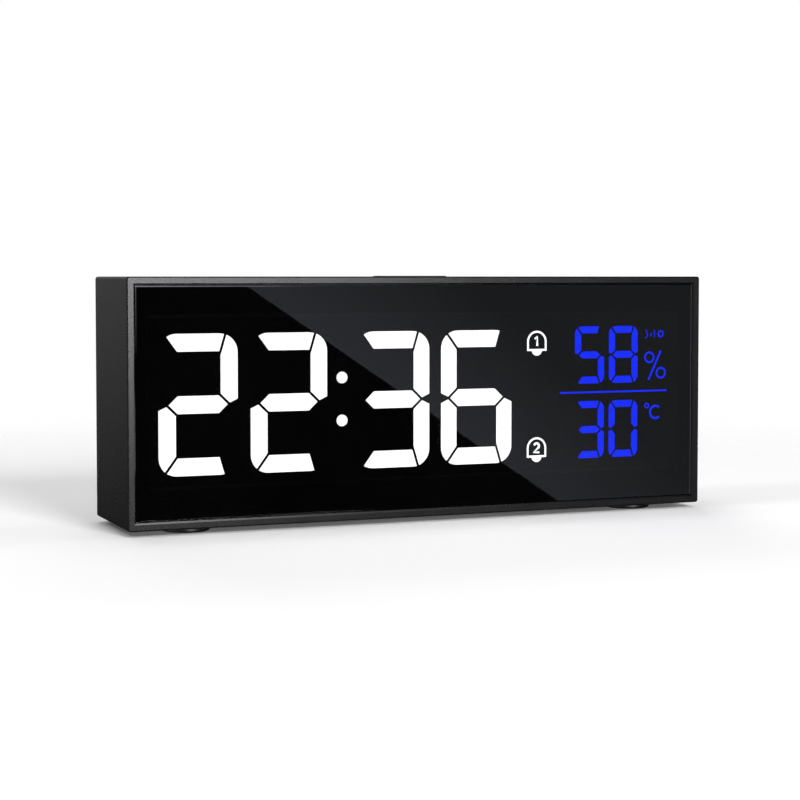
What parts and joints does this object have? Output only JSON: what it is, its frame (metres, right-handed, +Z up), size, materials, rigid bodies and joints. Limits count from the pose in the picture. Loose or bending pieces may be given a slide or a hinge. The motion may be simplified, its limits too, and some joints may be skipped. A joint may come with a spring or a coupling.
{
  "type": "digital led desk clock",
  "caption": "Low box-shaped desk clock with a smoked front panel over a lit segment display, a flush snooze key on top and buttons, inlet and battery door behind.",
  "frame": {"origin": "on the table, under the middle of the clock", "axes": "+X to the right seen from the front, +Y to the back, +Z up"},
  "size_m": [0.165, 0.0344, 0.0657],
  "materials": {
    "case_plastic": "fine spark-eroded matt black",
    "cover_plastic": "matt black",
    "smoked_panel": "polished smoked acrylic",
    "foam_tape": "black foam",
    "housing_black": "black printed face",
    "film_black": "black film",
    "resin_clear": "milky resin",
    "resin_dark": "tinted resin, unlit",
    "resin_white": "milky resin, lit white",
    "resin_blue": "milky resin, lit blue",
    "board_green": "solder-masked board",
    "light_chip": "phosphor and clear lens",
    "chip_black": "moulded black package",
    "switch_black": "moulded black",
    "sensor_white": "moulded white",
    "key_plastic": "fine matt black",
    "plated_steel": "bright plated",
    "screw_black": "black oxide",
    "can_aluminium": "bright can",
    "cell_jacket": "printed jacket left plain",
    "wire_red": "red insulation",
    "wire_black": "black insulation",
    "rubber_foot": "moulded black rubber"
  },
  "bodies": {
    "clock": {"battery_cells": "cell_jacket", "battery_contacts": "plated_steel", "battery_lead_black": "wire_black", "battery_lead_red": "wire_red", "blue_lights": "light_chip", "buzzer": "switch_black", "capacitor": "can_aluminium", "case_shell": "case_plastic", "climate_dark_segments": "resin_dark", "climate_sensor": "sensor_white", "clock_crystal": "plated_steel", "colon_dots": "resin_white", "controller_chip": "chip_black", "cover_screws": "screw_black", "display_board": "board_green", "display_housing": "housing_black", "display_screws": "plated_steel", "divider_bar": "resin_blue", "driver_chip": "chip_black", "foot_front_left": "rubber_foot", "foot_front_right": "rubber_foot", "foot_rear_left": "rubber_foot", "foot_rear_right": "rubber_foot", "front_panel": "smoked_panel", "hour_tens_lit": "resin_white", "hour_units_lit": "resin_white", "humidity_tens_lit": "resin_blue", "humidity_units_lit": "resin_blue", "legend_films": "film_black", "main_board": "board_green", "main_board_screws": "plated_steel", "minute_tens_lit": "resin_white", "minute_units_lit": "resin_white", "panel_tape": "foam_tape", "rear_cover": "cover_plastic", "rear_switches": "switch_black", "ribbon_cable": "sensor_white", "ribbon_connectors": "sensor_white", "sign_plugs": "resin_clear", "snooze_switch": "switch_black", "temperature_tens_lit": "resin_blue", "temperature_units_lit": "resin_blue", "time_dark_segments": "resin_dark", "usb_socket": "plated_steel", "white_lights": "light_chip"},
    "snooze_key": {"snooze_key": "key_plastic"},
    "battery_door": {"battery_door": "cover_plastic"},
    "set_button": {"set_button": "key_plastic"},
    "alarm_button": {"alarm_button": "key_plastic"},
    "up_button": {"up_button": "key_plastic"},
    "down_button": {"down_button": "key_plastic"},
    "dimmer_button": {"dimmer_button": "key_plastic"}
  },
  "joints": [
    {"name": "snooze_press", "type": "slide", "parent": "clock", "child": "snooze_key", "axis": [0, 0, -1], "range_m": [0, 0.0006], "stiffness_N_per_m": 600, "springref_m": -0.0004},
    {"name": "battery_door_swing", "type": "hinge", "parent": "clock", "child": "battery_door", "pos_m": [-0.0654, 0.01645, 0.0335], "axis": [0, 0, 1], "range_deg": [0, 75]},
    {"name": "set_press", "type": "slide", "parent": "clock", "child": "set_button", "axis": [0, -1, 0], "range_m": [0, 0.0004], "stiffness_N_per_m": 600, "springref_m": -0.0004},
    {"name": "alarm_press", "type": "slide", "parent": "clock", "child": "alarm_button", "axis": [0, -1, 0], "range_m": [0, 0.0004], "stiffness_N_per_m": 600, "springref_m": -0.0004},
    {"name": "up_press", "type": "slide", "parent": "clock", "child": "up_button", "axis": [0, -1, 0], "range_m": [0, 0.0004], "stiffness_N_per_m": 600, "springref_m": -0.0004},
    {"name": "down_press", "type": "slide", "parent": "clock", "child": "down_button", "axis": [0, -1, 0], "range_m": [0, 0.0004], "stiffness_N_per_m": 600, "springref_m": -0.0004},
    {"name": "dimmer_press", "type": "slide", "parent": "clock", "child": "dimmer_button", "axis": [0, -1, 0], "range_m": [0, 0.0004], "stiffness_N_per_m": 600, "springref_m": -0.0004}
  ]
}
